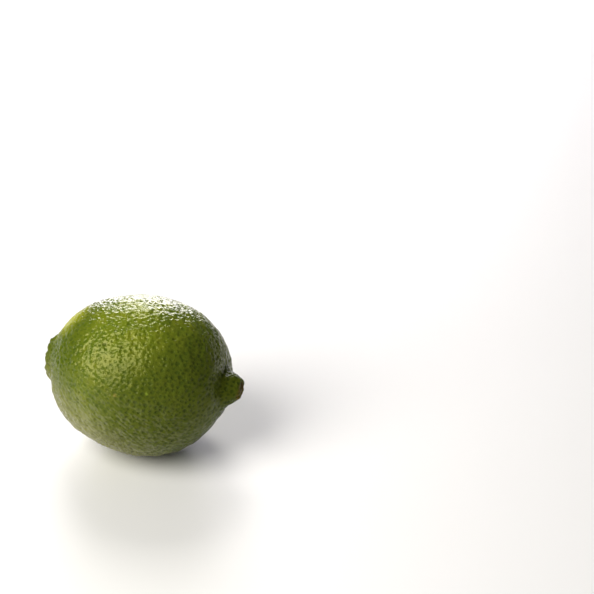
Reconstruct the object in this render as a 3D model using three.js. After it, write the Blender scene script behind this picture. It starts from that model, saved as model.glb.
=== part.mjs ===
// A fresh lime as picked, lying on its side. The fruit grew as one piece: a full body, a knob called
// the nipple at the blossom end, and a puckered collar round a dimple at the stem end. The dry calyx
// button, which the stalk left behind when it broke off, sits in that dimple as a piece of its own.
// Lengths are millimetres and angles are radians. Z is up and X runs from the stem end to the nipple.
// The origin is on the surface that the lime rests on, under the middle of the whole object.
import * as THREE from "three";
import { mergeVertices } from "three/addons/utils/BufferGeometryUtils.js";

// The body, measured from its widest ring
const BODY_RADIUS = 25.4;
const BLOSSOM_HALF = 27.6;
const STEM_HALF = 29.9;
const BLOSSOM_TAPER = 0.84; // 1 is an ellipse, less is blunter and more is more pointed
const STEM_TAPER = 0.92;
const STEM_LIFT = 1.8; // how far each end is bent upwards
const BLOSSOM_LIFT = 0.8;

// The nipple, by radius from its own axis
const NIPPLE_HEIGHT = 4.8;
const NIPPLE_FOOT = 6.8;
const NIPPLE_SHOULDER = 2.6;
const NIPPLE_SLANT = 0.28; // how far its foot is set downwards, as a share of the radius
const SLANT_REACH = 3.2; // how fast that fades to either side of the foot
const SCAR_RADIUS = 1.6; // the pit that the style left in its tip
const SCAR_DEPTH = 0.5;
const FURROW_RADIUS = 7.6; // the ring groove round its foot
const FURROW_WIDTH = 1.6;
const FURROW_DEPTH = 0.25;
const FURROW_HOLLOWS = [
  { turn: 80, reach: 34, depth: 0.45 }, // the crease over the nipple
  { turn: 160, reach: 20, depth: 0.45 }, // the hollow on its near side
]; // where the groove is deeper, in degrees round the nipple

// The collar and dimple at the stem end
const COLLAR_HEIGHT = 2.1;
const COLLAR_FOOT = 8.6;
const COLLAR_CREST = 5.6;
const DIMPLE_RIM = 5.4;
const DIMPLE_FLOOR = 4.0;
const DIMPLE_DEPTH = 1.9;
const PLEAT_HEIGHT = 0.9;
const PLEAT_RADIUS = 6.8; // where the pleats are highest
const PLEAT_REACH = 3.2; // how fast they fade to either side
const PLEAT_ROUNDNESS = 0.6;
const CREASE_SHARE = 0.5; // how much of a pleat's height is sunk below the plain collar
const CREASES = [18, 48, 74, 101, 129, 172, 201, 235, 270, 300, 334]; // degrees round the dimple

// The skin's uneven swellings, each a height and the distance from crest to crest
const SWELLING = { height: 0.16, spacing: 22 };
const RIPPLE = { height: 0.07, spacing: 6.5 };
const WAVES = 9; // crossing waves in each, so that no direction shows
const GOLDEN_ANGLE = Math.PI * (3 - Math.sqrt(5));

// Places where the body is flatter, or fuller where the depth is negative. Each has a direction from
// the middle, and its sharpness says how small it is.
const FLATTER = [
  { towards: new THREE.Vector3(-0.9, 0.1, 0.45), depth: 0.5, sharpness: 24 }, // upper stem shoulder
  { towards: new THREE.Vector3(0.85, -0.1, -0.45), depth: 0.5, sharpness: 20 }, // under the nipple
  { towards: new THREE.Vector3(-0.72, -0.5, -0.48), depth: -0.3, sharpness: 14 }, // lower stem side
];
const RESTING_CUT = 0.36; // how much of the belly the flat spot under it takes away

// The calyx button
const BUTTON_RADIUS = 3.3;
const BUTTON_LOBES = 5;
const LOBE_SHARE = 0.08; // how far a lobe stands out, as a share of the radius
const LOBE_TURN = 0.5; // how far the lobes are turned round the axis
const BUTTON_GAP = 0.3; // clearance to the dimple's floor
const BUTTON_PROFILE = [
  [2.8, 0],
  [BUTTON_RADIUS, 0.5],
  [3.0, 1.0],
  [2.3, 1.25],
  [1.7, 1.1],
  [1.3, 0.6],
  [0.8, 0.5],
  [0.45, 0.75],
]; // radius and height, from its foot over the rim into the stalk's socket and on to its core

// How the surface is divided
const SPHERE_DETAIL = 19; // 20 x (19 + 1)^2 triangles
const MERIDIAN_STEPS = 3000;
const END_CROWDING = 2; // extra triangles near both ends, against the belly's
const END_REACH = 9;
const BUTTON_SEGMENTS = 45;
const BUTTON_STEPS = 18;

// 0 below the first edge, 1 beyond the second, smooth between them; the edges may run either way.
function fade(value, none, full) {
  const share = THREE.MathUtils.clamp((value - none) / (full - none), 0, 1);
  return share * share * (3 - 2 * share);
}

// A bell curve of height 1.
function bell(value, middle, width) {
  return Math.exp(-(((value - middle) / width) ** 2));
}

// The skin's outline in a plane through the axis: along the axis and out from it, by an angle that
// runs from 0 at the nipple's tip to pi at the middle of the dimple.
function outlineAt(angle) {
  const blossom = angle < Math.PI / 2;
  const out = BODY_RADIUS * Math.sin(angle) ** (blossom ? BLOSSOM_TAPER : STEM_TAPER);
  if (blossom) {
    const nipple = NIPPLE_HEIGHT * fade(out, NIPPLE_FOOT, NIPPLE_SHOULDER);
    const scar = SCAR_DEPTH * fade(out, SCAR_RADIUS, 0);
    return { out, along: BLOSSOM_HALF * Math.cos(angle) + nipple - scar };
  }
  const collar = COLLAR_HEIGHT * fade(out, COLLAR_FOOT, COLLAR_CREST);
  const dimple = DIMPLE_DEPTH * fade(out, DIMPLE_RIM, DIMPLE_FLOOR);
  return { out, along: STEM_HALF * Math.cos(angle) - collar + dimple };
}

// The outline as closely spaced points. Each knows the share of all triangles that lies before it, so
// that a sphere's even triangles stay even when they are laid on the fruit, and finer at its ends.
function measuredOutline() {
  const points = [];
  let share = 0;
  for (let step = 0; step <= MERIDIAN_STEPS; step++) {
    const here = outlineAt((Math.PI * step) / MERIDIAN_STEPS);
    const last = points.at(-1) ?? here;
    const length = Math.hypot(here.along - last.along, here.out - last.out);
    const crowding = 1 + END_CROWDING * bell(here.out, 0, END_REACH);
    share += (crowding * length * (here.out + last.out)) / 2;
    points.push({ ...here, share });
  }
  return points.map((point) => ({ ...point, share: point.share / share }));
}

const outline = measuredOutline();

// The outline's point and outward normal where a share of the triangles lies before it.
function outlineByShare(share) {
  let low = 0;
  let high = outline.length - 1;
  while (high - low > 1) {
    const middle = (low + high) >> 1;
    if (outline[middle].share < share) low = middle;
    else high = middle;
  }
  const [a, b] = [outline[low], outline[high]];
  const between = THREE.MathUtils.clamp((share - a.share) / (b.share - a.share), 0, 1);
  const length = Math.hypot(b.along - a.along, b.out - a.out);
  return {
    along: THREE.MathUtils.lerp(a.along, b.along, between),
    out: THREE.MathUtils.lerp(a.out, b.out, between),
    normalAlong: (b.out - a.out) / length,
    normalOut: (a.along - b.along) / length,
  };
}

// Uneven swellings of the skin: waves that run in evenly spread directions, each with its own start.
function swelling({ height, spacing }, p) {
  let sum = 0;
  for (let wave = 0; wave < WAVES; wave++) {
    const polar = Math.acos(1 - (2 * wave + 1) / WAVES);
    const direction = new THREE.Vector3().setFromSphericalCoords(1, polar, GOLDEN_ANGLE * wave);
    sum += Math.sin(((2 * Math.PI) / spacing) * direction.dot(p) + wave * wave);
  }
  return (height * sum) / Math.sqrt(WAVES);
}

// The pleats that radiate from the dimple, a rounded one between each crease and the next.
function pleats(out, turn) {
  const degrees = THREE.MathUtils.euclideanModulo(THREE.MathUtils.radToDeg(turn), 360);
  const creases = [CREASES.at(-1) - 360, ...CREASES, CREASES[0] + 360];
  const next = creases.findIndex((crease) => crease > degrees);
  const share = (degrees - creases[next - 1]) / (creases[next] - creases[next - 1]);
  const height = Math.sin(Math.PI * share) ** PLEAT_ROUNDNESS - CREASE_SHARE;
  const inside = fade(out, DIMPLE_FLOOR, DIMPLE_RIM);
  return PLEAT_HEIGHT * height * bell(out, PLEAT_RADIUS, PLEAT_REACH) * inside;
}

// How deep the groove round the nipple's foot is in a direction round the axis.
function furrowDepth(turn) {
  let depth = FURROW_DEPTH;
  for (const hollow of FURROW_HOLLOWS) {
    const apart = THREE.MathUtils.radToDeg(turn) - hollow.turn;
    depth += hollow.depth * bell(THREE.MathUtils.euclideanModulo(apart + 180, 360) - 180, 0, hollow.reach);
  }
  return depth;
}

// Bends a point of the straight fruit with its axis, which curves up towards both ends.
function bend(p) {
  const towardsStem = THREE.MathUtils.clamp(-p.x / STEM_HALF, 0, 1);
  const towardsBlossom = THREE.MathUtils.clamp(p.x / BLOSSOM_HALF, 0, 1);
  p.z += STEM_LIFT * towardsStem ** 2 + BLOSSOM_LIFT * towardsBlossom ** 2;
  return p;
}

// The skin's point for a direction on the unit sphere.
function skinPoint(direction) {
  const ring = outlineByShare((1 - direction.x) / 2);
  const turn = Math.atan2(direction.z, direction.y);
  const [cos, sin] = [Math.cos(turn), Math.sin(turn)];
  const p = new THREE.Vector3(ring.along, ring.out * cos, ring.out * sin);
  const outwards = new THREE.Vector3(ring.normalAlong, ring.normalOut * cos, ring.normalOut * sin);
  const atBlossom = ring.along > 0;

  let lift = swelling(SWELLING, p) + swelling(RIPPLE, p);
  if (atBlossom) {
    const slant = 1 - NIPPLE_SLANT * sin * bell(ring.out, NIPPLE_FOOT, SLANT_REACH);
    p.set(p.x, p.y * slant, p.z * slant);
    lift -= furrowDepth(turn) * bell(ring.out, FURROW_RADIUS, FURROW_WIDTH);
  } else {
    lift = lift * fade(ring.out, DIMPLE_FLOOR, COLLAR_FOOT) + pleats(ring.out, turn);
  }
  const fromMiddle = p.clone().normalize();
  for (const { towards, depth, sharpness } of FLATTER) {
    lift -= depth * Math.exp(sharpness * (fromMiddle.dot(towards) / towards.length() - 1));
  }
  return bend(p.addScaledVector(outwards, lift));
}

// Rewrites each corner of a geometry by a function of where it is.
function reshape(geometry, change) {
  const corners = geometry.getAttribute("position");
  for (let i = 0; i < corners.count; i++) {
    const p = change(new THREE.Vector3().fromBufferAttribute(corners, i));
    corners.setXYZ(i, p.x, p.y, p.z);
  }
  geometry.computeBoundingBox();
  return geometry;
}

// The whole fruit, an even sphere laid on the lime's skin, with a flat spot under its belly.
function fruitGeometry() {
  const sphere = new THREE.IcosahedronGeometry(1, SPHERE_DETAIL);
  sphere.deleteAttribute("normal");
  sphere.deleteAttribute("uv");
  const fruit = reshape(mergeVertices(sphere), (p) => skinPoint(p.normalize()));
  const floor = fruit.boundingBox.min.z + RESTING_CUT;
  return reshape(fruit, (p) => p.setZ(Math.max(p.z, floor)));
}

// The calyx button, a low five-lobed disc with a socket in its middle, facing out of the stem end.
function buttonGeometry() {
  const curve = new THREE.SplineCurve(BUTTON_PROFILE.map((pair) => new THREE.Vector2(...pair)));
  const profile = curve.getPoints(BUTTON_STEPS);
  const axis = [profile[0], profile.at(-1)].map((point) => new THREE.Vector2(0, point.y));
  const button = new THREE.LatheGeometry([axis[0], ...profile, axis[1]], BUTTON_SEGMENTS);
  button.rotateZ(Math.PI / 2); // its face now looks along -X
  const floor = outlineAt(Math.PI).along;
  return reshape(button, (p) => {
    const turn = Math.atan2(p.z, p.y);
    const radius = Math.hypot(p.y, p.z);
    const lobe = 1 + LOBE_SHARE * Math.cos(BUTTON_LOBES * turn + LOBE_TURN) * (radius / BUTTON_RADIUS) ** 2;
    return bend(p.set(p.x + floor - BUTTON_GAP, p.y * lobe, p.z * lobe));
  });
}

const peel = new THREE.MeshStandardMaterial({ color: "#56711a", roughness: 0.32, metalness: 0 });
const dryCalyx = new THREE.MeshStandardMaterial({ color: "#86793a", roughness: 0.75, metalness: 0 });

const fruit = new THREE.Mesh(fruitGeometry(), peel);
fruit.name = "fruit";
const button = new THREE.Mesh(buttonGeometry(), dryCalyx);
button.name = "calyx_button";

const lime = new THREE.Group();
lime.add(fruit, button);

// Set the lime down: its lowest face at height 0, and the middle of its length and width over the origin.
const reach = new THREE.Box3().setFromObject(lime);
const middle = reach.getCenter(new THREE.Vector3());
for (const piece of lime.children) piece.geometry.translate(-middle.x, -middle.y, -reach.min.z);

export default lime;
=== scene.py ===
# %% [markdown]
# # A fresh lime
#
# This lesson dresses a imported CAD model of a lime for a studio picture. The CAD model gives the body,
# the nipple and the pleated stem end at their real size. What it leaves out is what makes a lime look
# like a lime: the thousands of small sunk oil glands, the waxy gloss, the uneven green, and the dry
# calyx button. All lengths are in metres unless a name ends in _mm, and Z is up.

# %% Load the CAD model
import math

import bpy
from mathutils import Matrix, Vector


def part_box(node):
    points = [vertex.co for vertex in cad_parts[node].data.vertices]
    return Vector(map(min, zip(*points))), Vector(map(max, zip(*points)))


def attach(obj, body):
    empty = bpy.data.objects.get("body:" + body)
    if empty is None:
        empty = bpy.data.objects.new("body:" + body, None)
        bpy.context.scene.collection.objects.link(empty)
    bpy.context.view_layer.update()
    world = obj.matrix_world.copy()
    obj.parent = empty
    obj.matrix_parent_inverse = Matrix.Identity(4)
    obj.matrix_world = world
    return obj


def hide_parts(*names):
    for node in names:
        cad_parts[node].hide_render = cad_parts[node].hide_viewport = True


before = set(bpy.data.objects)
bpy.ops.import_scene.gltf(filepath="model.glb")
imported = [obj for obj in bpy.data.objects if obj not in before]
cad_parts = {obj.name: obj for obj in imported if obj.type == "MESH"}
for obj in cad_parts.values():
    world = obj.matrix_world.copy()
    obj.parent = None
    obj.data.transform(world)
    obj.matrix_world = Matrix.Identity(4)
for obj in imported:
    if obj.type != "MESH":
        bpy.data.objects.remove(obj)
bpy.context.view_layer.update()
MM = 0.001
low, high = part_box("fruit")
length, width, height = ((high - low) / MM)[:]
print(f"the fruit is {length:.1f} mm long, {width:.1f} mm wide and {height:.1f} mm high")

# %% [markdown]
# ## The camera
#
# The camera comes first, because everything else is judged through it. A long lens flattens the
# fruit a little, as in a product picture. The fruit lies in the lower left of the frame, so the
# camera is aimed past it: its place is worked out from the pixel where the fruit's middle appears.

# %% Camera
PICTURE_PX = 594
FRUIT_MIDDLE_PX = (145.1, 374.8)
LENS_MM = 135
SENSOR_MM = 36
CAMERA_AZIMUTH = math.radians(15.9)
CAMERA_ELEVATION = math.radians(30.2)
CAMERA_DEPTH = 0.7055
fruit_middle = Vector((0, 0, high.z / 2))

turn = Matrix.Rotation(CAMERA_AZIMUTH, 3, "Z") @ Matrix.Rotation(math.pi / 2 - CAMERA_ELEVATION, 3, "X")
metres_per_pixel = CAMERA_DEPTH * SENSOR_MM / LENS_MM / PICTURE_PX
right_of_aim = (FRUIT_MIDDLE_PX[0] - PICTURE_PX / 2) * metres_per_pixel
above_aim = (PICTURE_PX / 2 - FRUIT_MIDDLE_PX[1]) * metres_per_pixel
camera_place = fruit_middle - turn @ Vector((right_of_aim, above_aim, -CAMERA_DEPTH))

bpy.ops.object.camera_add(location=camera_place, rotation=turn.to_euler())
camera = bpy.context.object
camera.name = "camera"
camera.data.lens = LENS_MM
camera.data.sensor_width = SENSOR_MM
bpy.context.scene.camera = camera
print("the camera stands", round((camera_place - fruit_middle).length, 3), "m from the fruit's middle")

# %% [markdown]
# ## Small helpers
#
# Both the shape of the glands and their colour are made with nodes. A few helpers keep those trees
# short: they add one node or a few, connect them, and return the last output. An input may be
# another node's output or a plain value.

# %% Node helpers
# How many finer layers a noise has
SMOOTH = 1.0
SOFT = 2.0
ROUGH = 3.0
ROUGHEST = 4.0
# A noise runs from 0 to 1 about this value
NOISE_MIDDLE = 0.5
UPWARDS = (0, 0, 1)


def feed(tree, socket, value):
    if isinstance(value, bpy.types.NodeSocket):
        tree.links.new(value, socket)
    else:
        socket.default_value = value


def calculate(tree, operation, first, second=0.0):
    node = tree.nodes.new("ShaderNodeMath")
    node.operation = operation
    feed(tree, node.inputs[0], first)
    feed(tree, node.inputs[1], second)
    return node.outputs["Value"]


def fade(tree, value, none, full, least=0.0, most=1.0):
    """Runs smoothly from least to most while value runs from none to full."""
    node = tree.nodes.new("ShaderNodeMapRange")
    node.interpolation_type = "SMOOTHSTEP"
    feed(tree, node.inputs["Value"], value)
    for name, setting in zip(("From Min", "From Max", "To Min", "To Max"), (none, full, least, most)):
        node.inputs[name].default_value = setting
    return node.outputs["Result"]


def move(tree, operation, first, second):
    node = tree.nodes.new("ShaderNodeVectorMath")
    node.operation = operation
    feed(tree, node.inputs[0], first)
    if operation == "SCALE":
        feed(tree, node.inputs["Scale"], second)
    else:
        feed(tree, node.inputs[1], second)
    return node.outputs["Value" if operation in ("DISTANCE", "DOT_PRODUCT") else "Vector"]


def noise(tree, place, size_mm, layers, output="Fac"):
    """Noise with lumps about size_mm wide."""
    node = tree.nodes.new("ShaderNodeTexNoise")
    feed(tree, node.inputs["Vector"], place)
    node.inputs["Scale"].default_value = 1 / (size_mm * MM)
    node.inputs["Detail"].default_value = layers
    return node.outputs[output]


def lumps(tree, place, size_mm, height):
    """Smooth lumps that rise and sink in equal parts. The height may be a field."""
    lump = calculate(tree, "SUBTRACT", noise(tree, place, size_mm, SMOOTH), NOISE_MIDDLE)
    return calculate(tree, "MULTIPLY", lump, height)


def nudged_about(tree, place, size_mm, layers, reach_mm):
    """The place moved about by a noise, at most by half of reach_mm each way."""
    nudge = move(tree, "SUBTRACT", noise(tree, place, size_mm, layers, "Color"), (NOISE_MIDDLE,) * 3)
    return move(tree, "ADD", place, move(tree, "SCALE", nudge, reach_mm * MM))


def cells(tree, place, size_mm):
    """A cell pattern: the distance to the nearest cell's middle, as a share of size_mm."""
    node = tree.nodes.new("ShaderNodeTexVoronoi")
    feed(tree, node.inputs["Vector"], place)
    node.inputs["Scale"].default_value = 1 / (size_mm * MM)
    return node.outputs["Distance"]


def blend(tree, share, first, second):
    node = tree.nodes.new("ShaderNodeMix")
    node.data_type = "RGBA"
    feed(tree, node.inputs["Factor"], share)
    feed(tree, node.inputs["A"], first)
    feed(tree, node.inputs["B"], second)
    return node.outputs["Result"]


print("a noise has", SMOOTH, "to", ROUGHEST, "finer layers")

# %% [markdown]
# Both pieces get their fine relief and their materials in the same way, so these steps are helpers
# too.


# %% Mesh and material helpers
def geometry_group(name):
    """A new group of geometry nodes, and the mesh that comes into it."""
    tree = bpy.data.node_groups.new(name, "GeometryNodeTree")
    for in_out in ("INPUT", "OUTPUT"):
        tree.interface.new_socket("Geometry", in_out=in_out, socket_type="NodeSocketGeometry")
    return tree, tree.nodes.new("NodeGroupInput").outputs["Geometry"]


def push_out(tree, skin, rise):
    """Moves each vertex of the skin outwards by its rise, and ends the group."""
    outwards = tree.nodes.new("GeometryNodeInputNormal").outputs["Normal"]
    shift = tree.nodes.new("GeometryNodeSetPosition")
    feed(tree, shift.inputs["Geometry"], skin)
    feed(tree, shift.inputs["Offset"], move(tree, "SCALE", outwards, rise))
    end = tree.nodes.new("NodeGroupOutput")
    feed(tree, end.inputs["Geometry"], shift.outputs["Geometry"])


def subdivide(thing, rounds):
    """Rounds the object off. Each round divides every face in four."""
    modifier = thing.modifiers.new("finer", "SUBSURF")
    modifier.levels = rounds
    modifier.render_levels = rounds
    bpy.ops.object.modifier_apply(modifier=modifier.name)


def press_in(thing, group):
    """Moves the object's vertices for good, as the group of geometry nodes says."""
    modifier = thing.modifiers.new(group.name, "NODES")
    modifier.node_group = group
    bpy.ops.object.modifier_apply(modifier=modifier.name)
    bpy.ops.object.shade_smooth()


def new_material(name):
    """A new material, its node tree and its shader."""
    material = bpy.data.materials.new(name)
    material.use_nodes = True
    return material, material.node_tree, material.node_tree.nodes["Principled BSDF"]


def colour(code):
    """A web colour as the linear values that Blender's sockets take."""
    parts = [int(code[i : i + 2], 16) / 255 for i in (1, 3, 5)]
    return [c / 12.92 if c <= 0.04045 else ((c + 0.055) / 1.055) ** 2.4 for c in parts] + [1.0]


def in_metres(values_mm):
    return tuple(value * MM for value in values_mm)


print("helpers are ready; a mid green is", [round(c, 3) for c in colour("#6f8f1c")])

# %% [markdown]
# ## The peel's mesh
#
# The visible peel starts as a copy of the CAD fruit, so its size and outline are right. The copy's
# loose triangles are merged, and two rounds of subdivision give a vertex about every third of a
# millimetre. That is fine enough for real pits, so the outline and the highlights break up as on a
# real lime, which bump shading alone wouldn't do.

# %% Copy and subdivide the fruit
MERGE_DISTANCE_MM = 0.01
SUBDIVISION_ROUNDS = 2

bpy.ops.object.select_all(action="DESELECT")
cad_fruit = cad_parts["fruit"]
peel = bpy.data.objects.new("peel", cad_fruit.data.copy())
bpy.context.collection.objects.link(peel)
peel.select_set(True)
bpy.context.view_layer.objects.active = peel
bpy.ops.mesh.customdata_custom_splitnormals_clear()
bpy.ops.object.mode_set(mode="EDIT")
bpy.ops.mesh.select_all(action="SELECT")
bpy.ops.mesh.remove_doubles(threshold=MERGE_DISTANCE_MM * MM)
bpy.ops.object.mode_set(mode="OBJECT")
print("merged to", len(peel.data.vertices), "vertices")

subdivide(peel, SUBDIVISION_ROUNDS)
print("subdivided to", len(peel.data.vertices), "vertices and", len(peel.data.polygons), "faces")

# %% [markdown]
# ## The oil glands
#
# A lime's skin is full of round oil glands, about a millimetre and a half apart, and it sinks a
# little over each of them. Pits drawn by hand or taken from a grid would look too regular. Here points
# are scattered over the skin with a least distance between them, each gets a strength of its own, and
# every vertex looks up the nearest one. Places are first nudged by a soft noise, so that the pits
# aren't quite round. The depth in the pit is also kept on the mesh as the attribute "gland", so that
# the colour can follow the shape.

# %% Scatter the glands
GLAND_SPACING_MM = 1.35
GLANDS_TRIED_PER_MM2 = 4.0
GLAND_RADIUS_MM = 0.85
FAINTEST_GLAND = 0.6
GLAND_NUDGE_MM = 1.0
NUDGE_SIZE_MM = 1.6


def sample(tree, points, value, index, kind):
    """The value that a field has at the point with this index."""
    node = tree.nodes.new("GeometryNodeSampleIndex")
    node.data_type = kind
    feed(tree, node.inputs["Geometry"], points)
    feed(tree, node.inputs["Value"], value)
    feed(tree, node.inputs["Index"], index)
    return node.outputs["Value"]


def gland_field(tree, skin, place):
    """How deep in a gland's pit a place is, from 0 between the pits to 1 in the middle of a large one."""
    scatter = tree.nodes.new("GeometryNodeDistributePointsOnFaces")
    scatter.distribute_method = "POISSON"
    feed(tree, scatter.inputs["Mesh"], skin)
    scatter.inputs["Distance Min"].default_value = GLAND_SPACING_MM * MM
    scatter.inputs["Density Max"].default_value = GLANDS_TRIED_PER_MM2 / MM**2
    glands = scatter.outputs["Points"]
    nudged = nudged_about(tree, place, NUDGE_SIZE_MM, SMOOTH, GLAND_NUDGE_MM)
    nearest = tree.nodes.new("GeometryNodeSampleNearest")
    feed(tree, nearest.inputs["Geometry"], glands)
    feed(tree, nearest.inputs["Sample Position"], nudged)
    index = nearest.outputs["Index"]
    chance = tree.nodes.new("FunctionNodeRandomValue").outputs["Value"]
    strength = sample(tree, glands, chance, index, "FLOAT")
    middle = sample(tree, glands, place, index, "FLOAT_VECTOR")
    size = fade(tree, strength, 0.0, 1.0, FAINTEST_GLAND, 1.0)
    distance = calculate(tree, "DIVIDE", move(tree, "DISTANCE", nudged, middle), size)
    return calculate(tree, "MULTIPLY", fade(tree, distance, GLAND_RADIUS_MM * MM, 0.0), size)


print("glands lie at least", GLAND_SPACING_MM, "mm apart, in pits up to", 2 * GLAND_RADIUS_MM, "mm wide")

# %% [markdown]
# Geometry nodes now press the pits into the mesh, together with wrinkles one to four millimetres wide
# that run round the fruit, and a few knobs on the nipple. They are what breaks a lime's highlights
# into dashes. The pits go inwards. The wrinkles go both ways in equal parts, so that on average the
# fruit keeps its CAD size. Nothing moves at the very bottom, where it rests on its flat spot.

# %% Press in the glands
PIT_DEPTH_MM = 0.25
# A place counts as deep in a pit from this share of the depth
HALFWAY_DOWN = 0.5
# The width and height of each kind of wrinkle
WRINKLES_MM = [(1.0, 0.45), (2.1, 0.55), (4.0, 0.3)]
# Stretching the noise's place makes the wrinkles narrow along the fruit and long around it
WRINKLE_STRETCH = (1.35, 0.7, 0.7)
NIPPLE_TIP_MM = (32.0, 0.0, 25.9)
KNOB_SIZE_MM = 2.4
KNOB_HEIGHT_MM = 1.1
# How far from the nipple's tip the knobs start, and where they have their full height
KNOB_BORDER_MM = (9.0, 4.5)
# Nothing moves below the first of these heights above the table, and all is free from the second
FREE_BORDER_MM = (0.4, 2.5)


def peel_relief():
    tree, skin = geometry_group("peel_relief")
    place = tree.nodes.new("GeometryNodeInputPosition").outputs["Position"]
    keep = tree.nodes.new("GeometryNodeStoreNamedAttribute")
    feed(tree, keep.inputs["Geometry"], skin)
    keep.inputs["Name"].default_value = "gland"
    feed(tree, keep.inputs["Value"], gland_field(tree, skin, place))

    read = tree.nodes.new("GeometryNodeInputNamedAttribute")
    read.inputs["Name"].default_value = "gland"
    rise = calculate(tree, "MULTIPLY", read.outputs["Attribute"], -PIT_DEPTH_MM * MM)
    along_and_around = move(tree, "MULTIPLY", place, WRINKLE_STRETCH)
    for size_mm, height_mm in WRINKLES_MM:
        rise = calculate(tree, "ADD", rise, lumps(tree, along_and_around, size_mm, height_mm * MM))
    from_tip = move(tree, "DISTANCE", place, in_metres(NIPPLE_TIP_MM))
    knobbly = fade(tree, from_tip, *in_metres(KNOB_BORDER_MM), 0.0, KNOB_HEIGHT_MM * MM)
    rise = calculate(tree, "ADD", rise, lumps(tree, place, KNOB_SIZE_MM, knobbly))
    above_floor = move(tree, "DOT_PRODUCT", place, UPWARDS)
    free = fade(tree, above_floor, *in_metres(FREE_BORDER_MM))
    push_out(tree, keep.outputs["Geometry"], calculate(tree, "MULTIPLY", rise, free))
    return tree


press_in(peel, peel_relief())
depths = [item.value for item in peel.data.attributes["gland"].data]
deep = sum(depth > HALFWAY_DOWN for depth in depths) / len(depths)
print(f"{deep:.0%} of the skin lies deep in a gland's pit")

# %% [markdown]
# ## The peel's material
#
# Lime peel is green skin with a thin natural wax. A picture could be wrapped round the fruit, but it
# would stretch at both ends. So everything is painted by place on the fruit, with soft borders. First
# come the fields that tell where a point lies: how deep in a gland's pit, how far out on each side,
# and how far from both ends. A border gives the two distances between which a field runs from
# nothing to full.

# %% Where a point lies on the peel
# The lower right side, which gets painted shade
PAINTED_SHADE_SIDE = (0.7, -0.6, -0.4)
PAINTED_SHADE_BORDER_MM = (-9.0, 19.0)
# The lower left side, which gets a painted reflection of the white table
FLOOR_REFLECTION_SIDE = (-0.55, -0.3, -0.78)
LOWER_SIDE = (-0.1, -0.5, -0.85)
LOWER_BORDER_MM = (3.0, 14.0)
STEM_SIDE = (-1, 0, 0)
STEM_MIDDLE_MM = (-31.0, 0.0, 26.8)
# How far the widest borders wander, and how wide their bays are
WANDERING_MM = 6.0
WANDERING_SIZE_MM = 6.0
# The same for the borders of small marks
RAGGED_MM = 1.6
RAGGED_SIZE_MM = 1.2


def border(tree, distance, border_mm, least=0.0, most=1.0):
    """Runs smoothly from least to most between the two distances of border_mm."""
    none, full = in_metres(border_mm)
    return fade(tree, distance, none, full, least, most)


def peel_fields(tree):
    """The fields that the peel's colour, gloss and bumps share."""
    place = tree.nodes.new("ShaderNodeTexCoord").outputs["Object"]
    gland = tree.nodes.new("ShaderNodeAttribute")
    gland.attribute_name = "gland"
    from_middle = move(tree, "SUBTRACT", place, fruit_middle)
    towards_painted_shade = move(tree, "DOT_PRODUCT", from_middle, PAINTED_SHADE_SIDE)
    towards_lower = move(tree, "DOT_PRODUCT", from_middle, LOWER_SIDE)
    wandering = noise(tree, place, WANDERING_SIZE_MM, ROUGH)
    return {
        "place": place,
        "pits": gland.outputs["Fac"],
        "painted_shade": border(tree, towards_painted_shade, PAINTED_SHADE_BORDER_MM),
        "towards_floor_reflection": move(tree, "DOT_PRODUCT", from_middle, FLOOR_REFLECTION_SIDE),
        "towards_lower": towards_lower,
        "lower": border(tree, towards_lower, LOWER_BORDER_MM),
        "from_tip": move(tree, "DISTANCE", place, in_metres(NIPPLE_TIP_MM)),
        "from_stem": move(tree, "DISTANCE", place, in_metres(STEM_MIDDLE_MM)),
        "wandering": calculate(tree, "MULTIPLY", wandering, WANDERING_MM * MM),
        "ragged_place": nudged_about(tree, place, RAGGED_SIZE_MM, SOFT, RAGGED_MM),
    }


print("the lower side starts", LOWER_BORDER_MM[0], "mm out from the fruit's middle")

# %% [markdown]
# The green drifts from deep olive to yellow-green in clouds a centimetre or two wide. The lower right
# side is darker, a painted shade. One shoulder is paler, because it lay in the shade as it grew. The
# belly is paler too, a painted reflection of the white table, and the ridges between the glands are a
# little lighter, a painted sheen.

# %% Green of the skin
DEEP_SKIN = "#4b6010"
LIGHT_SKIN = "#6a7a14"
CLOUD_SIZE_MM = 14.0
CLOUD_RANGE = (0.3, 0.7)
MOTTLED_SKIN = "#908d24"
MOTTLE_SIZE_MM = 3.5
MOTTLE_RANGE = (0.4, 0.7)
MOTTLED_SHARE = 0.25
# Painted shade on the lower right side
PAINTED_SHADE_SKIN = "#3f4a18"
PAINTED_SHADE_SHARE = 0.85
STEM_SKIN = "#394b09"
STEM_END_BORDER_MM = (9.0, 20.0)
STEM_END_SHARE = 0.8
NIPPLE_SKIN = "#2c380e"
NIPPLE_BORDER_MM = (10.0, 6.0)
NIPPLE_SHARE = 0.5
# Painted reflection of the white table on the belly
FLOOR_REFLECTION_SKIN = "#938e59"
FLOOR_REFLECTION_BORDER_MM = (8.0, 27.0)
FLOOR_REFLECTION_SHARE = 0.6
# Painted sheen on the ridges between the glands
RIDGE_SHEEN_SKIN = "#8a9124"
RIDGE_SHEEN_RANGE = (0.25, 0.0)
RIDGE_SHEEN_SHARE = 0.12
SHADED_SKIN = "#adb020"
PALE_PLACE_MM = (-23.5, 0.8, 42.0)
PALE_BORDER_MM = (13.6, 4.0)
PALE_SHARE = 0.95


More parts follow.
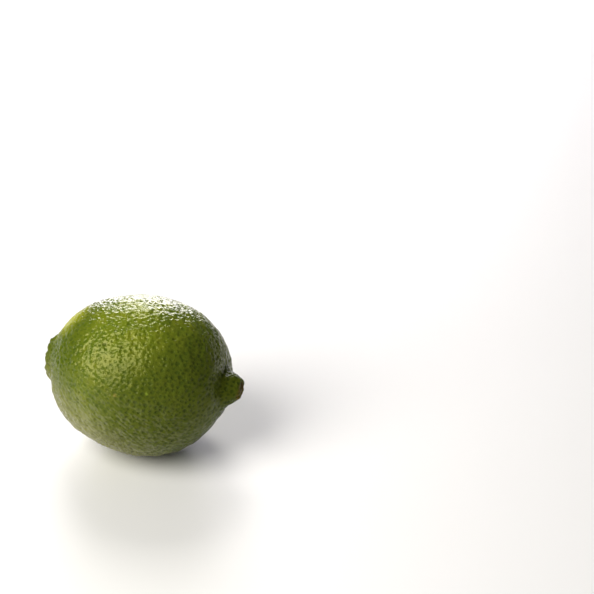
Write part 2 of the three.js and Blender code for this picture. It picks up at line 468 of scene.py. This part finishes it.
def green_skin(tree, at):
    clouds = fade(tree, noise(tree, at["place"], CLOUD_SIZE_MM, ROUGH), *CLOUD_RANGE)
    skin = blend(tree, clouds, colour(DEEP_SKIN), colour(LIGHT_SKIN))
    mottle = noise(tree, at["place"], MOTTLE_SIZE_MM, ROUGH)
    mottle = fade(tree, mottle, *MOTTLE_RANGE, 0.0, MOTTLED_SHARE)
    skin = blend(tree, mottle, skin, colour(MOTTLED_SKIN))
    # Painted shade darkens the lower right side
    skin = blend(tree, calculate(tree, "MULTIPLY", at["painted_shade"], PAINTED_SHADE_SHARE), skin, colour(PAINTED_SHADE_SKIN))
    towards_stem = move(tree, "DOT_PRODUCT", at["place"], STEM_SIDE)
    stem_end = border(tree, towards_stem, STEM_END_BORDER_MM, most=STEM_END_SHARE)
    skin = blend(tree, stem_end, skin, colour(STEM_SKIN))
    nipple = border(tree, at["from_tip"], NIPPLE_BORDER_MM, most=NIPPLE_SHARE)
    skin = blend(tree, nipple, skin, colour(NIPPLE_SKIN))
    # A painted reflection of the white table pales the belly
    painted_reflection = border(tree, at["towards_floor_reflection"], FLOOR_REFLECTION_BORDER_MM, most=FLOOR_REFLECTION_SHARE)
    skin = blend(tree, painted_reflection, skin, colour(FLOOR_REFLECTION_SKIN))
    # A painted sheen lightens the ridges between the glands
    skin = blend(tree, fade(tree, at["pits"], *RIDGE_SHEEN_RANGE, 0.0, RIDGE_SHEEN_SHARE), skin, colour(RIDGE_SHEEN_SKIN))
    from_pale = move(tree, "DISTANCE", at["place"], in_metres(PALE_PLACE_MM))
    from_pale = calculate(tree, "ADD", from_pale, at["wandering"])
    pale = border(tree, from_pale, PALE_BORDER_MM, most=PALE_SHARE)
    return blend(tree, pale, skin, colour(SHADED_SKIN))


print("the green drifts from", DEEP_SKIN, "to", LIGHT_SKIN)

# %% [markdown]
# Fine grey streaks of painted sheen, where the skin reflects the white table, run aslant over the lower
# side and grow stronger further down. The glands show as darker dots: their own deeper green with
# painted shade in their pits. The streaks and the painted shade of the lower right side hide them in
# part.

# %% Streaks and gland dots
# Painted sheen: pale grey streaks where the lower side reflects the white table
SHEEN_STREAK_SKIN = "#9c9c7a"
STREAK_STRETCH = (1.0, 0.6, 0.6)
STREAK_LEAN = (0.8, 0, 0)
STREAK_WIDTH_MM = 1.1
STREAK_RANGE = (0.47, 0.62)
STREAK_BORDER_MM = (12.0, 22.0)
FAINTEST_STREAK = 0.36
STRONGEST_STREAK = 0.62
HIDDEN_IN_PAINTED_SHADE = 0.5
HIDDEN_BY_STREAKS = 0.55
# The glands' own darker green, with painted shade in their pits
GLAND_AND_PIT_SHADE_SKIN = "#2f400c"
DOT_RANGE = (0.1, 0.9)
DOT_SHARE = 0.16


def streaked_and_dotted(tree, at, skin):
    leaning = move(tree, "SCALE", STREAK_LEAN, move(tree, "DOT_PRODUCT", at["place"], UPWARDS))
    streak_place = move(tree, "ADD", move(tree, "MULTIPLY", at["place"], STREAK_STRETCH), leaning)
    streaks = fade(tree, noise(tree, streak_place, STREAK_WIDTH_MM, SOFT), *STREAK_RANGE)
    strength = border(tree, at["towards_lower"], STREAK_BORDER_MM, FAINTEST_STREAK, STRONGEST_STREAK)
    # The streaks are painted sheen of the white table
    painted_sheen = calculate(tree, "MULTIPLY", at["lower"], calculate(tree, "MULTIPLY", strength, streaks))
    hidden_in_painted_shade = calculate(tree, "MULTIPLY", at["painted_shade"], HIDDEN_IN_PAINTED_SHADE)
    painted_sheen = calculate(tree, "MULTIPLY", painted_sheen, calculate(tree, "SUBTRACT", 1.0, hidden_in_painted_shade))
    skin = blend(tree, painted_sheen, skin, colour(SHEEN_STREAK_SKIN))
    hidden_below = calculate(tree, "MULTIPLY", at["lower"], HIDDEN_BY_STREAKS)
    clear = calculate(tree, "SUBTRACT", 1.0, calculate(tree, "MAXIMUM", hidden_below, hidden_in_painted_shade))
    # Gland dots: their own darker green and painted shade in the pits
    gland_dots_and_shade = calculate(tree, "MULTIPLY", clear, fade(tree, at["pits"], *DOT_RANGE, 0.0, DOT_SHARE))
    return blend(tree, gland_dots_and_shade, skin, colour(GLAND_AND_PIT_SHADE_SKIN))


print("the streaks are about", STREAK_WIDTH_MM, "mm wide")

# %% [markdown]
# A few flecks are set one by one: small scars, pale spots and two wide glands on the near side.

# %% Flecks
# Each fleck's place, radius and colour
FLECKS = [
    ((-0.9, -24.3, 32.1), 0.7, "#857538"),
    ((3.5, -22.6, 35.5), 0.8, "#7d8238"),
    ((8.7, -22.3, 33.6), 0.6, "#7c8e30"),
    ((-7.0, -15.1, 44.0), 0.8, "#3f4d0e"),
    ((-1.8, -15.8, 44.0), 0.8, "#3f4d0e"),
]
# A fleck starts and is full at these shares of its radius
FLECK_STARTS = 1.4
FLECK_IS_FULL = 0.4
FLECK_SHARE = 0.75


def flecked(tree, at, skin):
    for place_mm, radius_mm, code in FLECKS:
        apart = move(tree, "DISTANCE", at["ragged_place"], in_metres(place_mm))
        border_mm = (FLECK_STARTS * radius_mm, FLECK_IS_FULL * radius_mm)
        skin = blend(tree, border(tree, apart, border_mm, most=FLECK_SHARE), skin, colour(code))
    return skin


print(len(FLECKS), "flecks are set by hand")

# %% [markdown]
# The old flower scar at the nipple's tip, the patchy rim round it and the skin round the stem have
# dried to a corky brown.

# %% Dried skin at both ends
RIM_BROWN = "#6d5420"
RIM_MIDDLE_MM = (33.7, -0.4, 24.3)
RIM_BORDER_MM = (4.4, 3.2)
RIM_PATCH_SIZE_MM = 1.6
RIM_PATCH_RANGE = (0.38, 0.62)
FAINTEST_RIM = 0.1
STRONGEST_RIM = 0.75
SCAR_BROWN = "#3f2d14"
SCAR_BORDER_MM = (1.9, 1.1)
SCAR_SHARE = 0.8
CORK = "#6b5220"
DRY_BORDER_MM = (8.5, 5.5)
DRY_SHARE = 0.6


def dried_at_the_ends(tree, at, skin):
    """The skin with its brown ends, and how corky the tip is."""
    from_rim = move(tree, "DISTANCE", at["ragged_place"], in_metres(RIM_MIDDLE_MM))
    patches = noise(tree, at["place"], RIM_PATCH_SIZE_MM, ROUGH)
    patchy = fade(tree, patches, *RIM_PATCH_RANGE, FAINTEST_RIM, STRONGEST_RIM)
    rim = calculate(tree, "MULTIPLY", border(tree, from_rim, RIM_BORDER_MM), patchy)
    skin = blend(tree, rim, skin, colour(RIM_BROWN))
    from_scar = move(tree, "DISTANCE", at["ragged_place"], in_metres(NIPPLE_TIP_MM))
    scar = border(tree, from_scar, SCAR_BORDER_MM)
    skin = blend(tree, calculate(tree, "MULTIPLY", scar, SCAR_SHARE), skin, colour(SCAR_BROWN))
    from_stem = calculate(tree, "ADD", at["from_stem"], at["wandering"])
    skin = blend(tree, border(tree, from_stem, DRY_BORDER_MM, most=DRY_SHARE), skin, colour(CORK))
    return skin, calculate(tree, "MAXIMUM", rim, scar)


print("the dried skin reaches", DRY_BORDER_MM[0], "mm from the stem's middle at most")

# %% [markdown]
# The gloss follows the same places. It is clear on the ridges, weaker in the pits, on the lower right
# side with its painted shade and towards both ends, and dull where the tip is corky.

# %% Gloss
RIDGE_ROUGHNESS = 0.13
PIT_ROUGHNESS = 0.22
ROUGH_RANGE = (0.0, 0.8)
CORK_ROUGHNESS = 0.75
RIDGE_GLOSS = 0.6
PIT_GLOSS = 0.45
GLOSS_RANGE = (0.1, 0.9)
# The gloss is weaker on the lower right side, which also has painted shade
GLOSS_LOST_IN_PAINTED_SHADE = 0.8
STEM_GLOSS_BORDER_MM = (12.0, 30.0)
LEFT_AT_STEM = 0.1
TIP_GLOSS_BORDER_MM = (5.0, 10.0)
LEFT_AT_TIP = 0.4


def peel_gloss(tree, at, corky):
    """The peel's roughness and the level of its shine."""
    waxy = fade(tree, at["pits"], *ROUGH_RANGE, RIDGE_ROUGHNESS, PIT_ROUGHNESS)
    rough = calculate(tree, "MAXIMUM", waxy, calculate(tree, "MULTIPLY", corky, CORK_ROUGHNESS))
    left = calculate(tree, "SUBTRACT", 1.0, calculate(tree, "MULTIPLY", at["painted_shade"], GLOSS_LOST_IN_PAINTED_SHADE))
    near_stem = border(tree, at["from_stem"], STEM_GLOSS_BORDER_MM, LEFT_AT_STEM)
    near_tip = border(tree, at["from_tip"], TIP_GLOSS_BORDER_MM, LEFT_AT_TIP)
    left = calculate(tree, "MULTIPLY", calculate(tree, "MULTIPLY", left, near_stem), near_tip)
    shine = fade(tree, at["pits"], *GLOSS_RANGE, RIDGE_GLOSS, PIT_GLOSS)
    return rough, calculate(tree, "MULTIPLY", shine, left)


print("the wax has a roughness from", RIDGE_ROUGHNESS, "to", PIT_ROUGHNESS)

# %% [markdown]
# Some relief is too fine for the mesh: pores between the glands, steeper sides to their pits and a
# slight crinkle. A bump node adds it to the shading alone.

# %% Fine bumps
FINE_PIT_SPACING_MM = 0.62
FINE_PIT_DEPTH_MM = 0.035
FINE_PIT_RANGE = (0.6, 0.1)
EXTRA_PIT_DEPTH_MM = 0.07
CRINKLE_SIZE_MM = 0.6
CRINKLE_HEIGHT_MM = 0.12


def fine_bumps(tree, at):
    distance = cells(tree, at["place"], FINE_PIT_SPACING_MM)
    fine_pits = calculate(tree, "MULTIPLY", fade(tree, distance, *FINE_PIT_RANGE), -FINE_PIT_DEPTH_MM)
    sharper_pits = calculate(tree, "MULTIPLY", at["pits"], -EXTRA_PIT_DEPTH_MM)
    crinkles = noise(tree, at["place"], CRINKLE_SIZE_MM, SMOOTH)
    crinkles = calculate(tree, "MULTIPLY", crinkles, CRINKLE_HEIGHT_MM)
    height_mm = calculate(tree, "ADD", calculate(tree, "ADD", fine_pits, sharper_pits), crinkles)
    bump = tree.nodes.new("ShaderNodeBump")
    bump.inputs["Distance"].default_value = MM
    feed(tree, bump.inputs["Height"], height_mm)
    return bump.outputs["Normal"]


print("the finest pores are", FINE_PIT_SPACING_MM, "mm apart")

# %% [markdown]
# Now the material is put together. The wax tints its shine towards yellow, and some light scatters
# in the skin.

# %% Peel material
WAX_TINT = (1.0, 0.96, 0.4, 1.0)
WAX_IOR = 1.5
SCATTERED_SHARE = 0.1
SCATTER_REACH_MM = 1.0
# Red and green light go further in the skin than blue
SCATTER_OF_RED_GREEN_BLUE = (1.0, 1.0, 0.3)


def peel_material():
    material, tree, shader = new_material("waxy_lime_peel")
    at = peel_fields(tree)
    skin = flecked(tree, at, streaked_and_dotted(tree, at, green_skin(tree, at)))
    skin, corky = dried_at_the_ends(tree, at, skin)
    rough, shine = peel_gloss(tree, at, corky)
    feed(tree, shader.inputs["Base Color"], skin)
    feed(tree, shader.inputs["Roughness"], rough)
    feed(tree, shader.inputs["Specular IOR Level"], shine)
    feed(tree, shader.inputs["Normal"], fine_bumps(tree, at))
    shader.inputs["Specular Tint"].default_value = WAX_TINT
    shader.inputs["IOR"].default_value = WAX_IOR
    shader.inputs["Subsurface Weight"].default_value = SCATTERED_SHARE
    shader.inputs["Subsurface Radius"].default_value = SCATTER_OF_RED_GREEN_BLUE
    shader.inputs["Subsurface Scale"].default_value = SCATTER_REACH_MM * MM
    return material


peel.data.materials.clear()
peel.data.materials.append(peel_material())
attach(peel, "root")
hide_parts("fruit")
print("the peel has", len(peel.data.materials[0].node_tree.nodes), "nodes in its material")

# %% [markdown]
# ## The calyx button
#
# When the stalk breaks off, a small woody disc stays behind in the dimple: the calyx, with five blunt
# lobes and the stalk's socket in its middle. It could be lathed, but its lobes are simple to draw: a
# ring of ten corners with every second one pulled in, raised and then inset step by step into a rim,
# a socket and a core. Subdivision rounds it all off.

# %% Model the calyx
CALYX_LOBES = 5
CALYX_RADIUS_MM = 3.35
LOBE_VALLEY = 0.79
CALYX_EDGE_MM = 0.75
# Each step over the disc goes this far inwards and then up, or down where negative
CALYX_STEPS_MM = [(0.35, 0.3), (0.75, 0.05), (0.65, -0.12), (0.2, -0.5), (0.3, -0.1), (0.25, 0.3)]
SMOOTHING_ROUNDS = 4

bpy.ops.object.select_all(action="DESELECT")
bpy.ops.mesh.primitive_circle_add(vertices=2 * CALYX_LOBES, radius=CALYX_RADIUS_MM * MM, fill_type="NGON")
calyx = bpy.context.object
calyx.name = "calyx"
for corner in calyx.data.vertices:
    if corner.index % 2:
        corner.co *= LOBE_VALLEY
bpy.ops.object.mode_set(mode="EDIT")
bpy.ops.mesh.select_all(action="SELECT")
bpy.ops.mesh.extrude_region_move(TRANSFORM_OT_translate={"value": (0, 0, CALYX_EDGE_MM * MM)})
for inwards_mm, upwards_mm in CALYX_STEPS_MM:
    bpy.ops.mesh.inset(thickness=inwards_mm * MM, depth=upwards_mm * MM)
bpy.ops.mesh.select_all(action="SELECT")
bpy.ops.mesh.normals_make_consistent(inside=False)
bpy.ops.object.mode_set(mode="OBJECT")
subdivide(calyx, SMOOTHING_ROUNDS)
print("the calyx has", len(calyx.data.polygons), "faces")
print("it is", round(calyx.dimensions.z / MM, 2), "mm thick")

# %% [markdown]
# Fine grain is pressed into it with the same kind of geometry nodes as the peel. Then it is turned to
# face out of the stem end and set into the dimple, inside the space of the CAD button.

# %% Grain and place the calyx
GRAIN_SIZE_MM = 0.5
GRAIN_DEPTH_MM = 0.22


def calyx_relief():
    tree, wood = geometry_group("calyx_relief")
    place = tree.nodes.new("GeometryNodeInputPosition").outputs["Position"]
    grain = noise(tree, place, GRAIN_SIZE_MM, ROUGH)
    push_out(tree, wood, calculate(tree, "MULTIPLY", grain, -GRAIN_DEPTH_MM * MM))
    return tree


press_in(calyx, calyx_relief())

button_low, button_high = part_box("calyx_button")
calyx_middle = (button_low + button_high) / 2
calyx.rotation_euler = (0, -math.pi / 2, 0)
calyx.location = (button_high.x, calyx_middle.y, calyx_middle.z)
bpy.ops.object.transform_apply(location=True, rotation=True, scale=True)
print("the calyx's middle is", [round(v / MM, 1) for v in calyx_middle], "mm from the origin")

# %% [markdown]
# Its wood is dull straw-brown, nearly black in the socket and darker at the edge, with a pale core
# where the stalk's fibres tore.

# %% Calyx material
STRAW = "#a29350"
STRAW_DARK = "#77652f"
EDGE_BROWN = "#4a3716"
SOCKET_BROWN = "#2c1b0c"
CORE_PALE = "#a08a78"
WOOD_GRAIN_MM = 0.6
WOOD_GRAIN_RANGE = (0.35, 0.65)
# Borders are distances from the button's axis, and wander by the ragged noise
EDGE_BORDER_MM = (3.2, 3.6)
SOCKET_BORDER_MM = (2.1, 1.8)
CORE_BORDER_MM = (1.25, 1.0)
WOOD_RAGGED_MM = 1.2
WOOD_RAGGED_SIZE_MM = 1.2
WOOD_ROUGHNESS = 0.75
# Multiplying a place by this leaves out how far it is along the button's axis
ACROSS = (0, 1, 1)


def calyx_material():
    material, tree, shader = new_material("dry_calyx_wood")
    place = tree.nodes.new("ShaderNodeTexCoord").outputs["Object"]
    from_axis = move(tree, "MULTIPLY", move(tree, "SUBTRACT", place, calyx_middle), ACROSS)
    ragged = noise(tree, place, WOOD_RAGGED_SIZE_MM, ROUGH)
    ragged = calculate(tree, "MULTIPLY", ragged, WOOD_RAGGED_MM * MM)
    radius = calculate(tree, "ADD", move(tree, "DISTANCE", from_axis, (0, 0, 0)), ragged)
    grainy = fade(tree, noise(tree, place, WOOD_GRAIN_MM, ROUGHEST), *WOOD_GRAIN_RANGE)
    wood = blend(tree, grainy, colour(STRAW_DARK), colour(STRAW))
    wood = blend(tree, border(tree, radius, EDGE_BORDER_MM), wood, colour(EDGE_BROWN))
    wood = blend(tree, border(tree, radius, SOCKET_BORDER_MM), wood, colour(SOCKET_BROWN))
    wood = blend(tree, border(tree, radius, CORE_BORDER_MM), wood, colour(CORE_PALE))
    feed(tree, shader.inputs["Base Color"], wood)
    shader.inputs["Roughness"].default_value = WOOD_ROUGHNESS
    return material


calyx.data.materials.append(calyx_material())
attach(calyx, "root")
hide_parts("calyx_button")
print("the calyx has", len(calyx.data.materials[0].node_tree.nodes), "nodes in its material")

# %% [markdown]
# ## The floor and the light
#
# The fruit lies on a plain white table. A wide soft light stands low behind it, like the bright
# backdrop of a studio, and draws the white sheen over the top. A smaller one, higher up, adds the
# single glints below the sheen. A round one at the front left makes the soft patch on the near side
# and leaves the right side dark. One large light could do the work, but then the sheen, the glints
# and the patch couldn't be set one by one.

# %% Floor
FLOOR_SIZE = 6.0
FLOOR_WHITE = "#f1f1f0"
FLOOR_ROUGHNESS = 0.45
# The floor lies this much below the fruit, so that the two faces don't share a plane
FLOOR_DROP_MM = 0.05

table, _, shader = new_material("white_table")
shader.inputs["Base Color"].default_value = colour(FLOOR_WHITE)
shader.inputs["Roughness"].default_value = FLOOR_ROUGHNESS
bpy.ops.mesh.primitive_plane_add(size=FLOOR_SIZE, location=(0, 0, -FLOOR_DROP_MM * MM))
floor = bpy.context.object
floor.name = "floor"
floor.data.materials.append(table)
print("the floor is", FLOOR_SIZE, "m wide")

# %% Lights
COOL_WHITE = "#f6f2ff"
WARM_WHITE = "#fffcf6"
# Each light's azimuth and elevation in degrees, distance and size in metres, watts, tint and shape.
# Azimuth 0 is the camera's side, and 90 is to its right.
SOFTBOXES = {
    "backdrop": (181, 11, 1.4, (0.7, 0.5), 10.2, COOL_WHITE, "RECTANGLE"),
    "high_back_softbox": (188, 42, 1.2, (0.45, 0.4), 4.5, WARM_WHITE, "RECTANGLE"),
    "left_front_softbox": (-54, 42, 1.0, (0.8, 1.05), 13.4, WARM_WHITE, "ELLIPSE"),
}
AMBIENT_WHITE = (1, 1, 1, 1)
AMBIENT_STRENGTH = 0.12


def softbox(name, azimuth, elevation, distance, size, watts, tint, shape):
    """An area light aimed at the fruit."""
    around = math.radians(azimuth) + CAMERA_AZIMUTH
    up = math.radians(elevation)
    towards = Vector((math.sin(around) * math.cos(up), -math.cos(around) * math.cos(up), math.sin(up)))
    bpy.ops.object.light_add(type="AREA", location=fruit_middle + towards * distance)
    light = bpy.context.object
    light.name = name
    light.rotation_euler = towards.to_track_quat("Z", "Y").to_euler()
    light.data.shape = shape
    light.data.size, light.data.size_y = size
    light.data.energy = watts
    light.data.color = colour(tint)[:3]


for name, setting in SOFTBOXES.items():
    softbox(name, *setting)
world = bpy.data.worlds.new("studio")
world.use_nodes = True
background = world.node_tree.nodes["Background"]
background.inputs["Color"].default_value = AMBIENT_WHITE
background.inputs["Strength"].default_value = AMBIENT_STRENGTH
bpy.context.scene.world = world
bpy.context.scene.view_settings.view_transform = "Standard"
print("the fruit is lit by", len(SOFTBOXES), "softboxes")
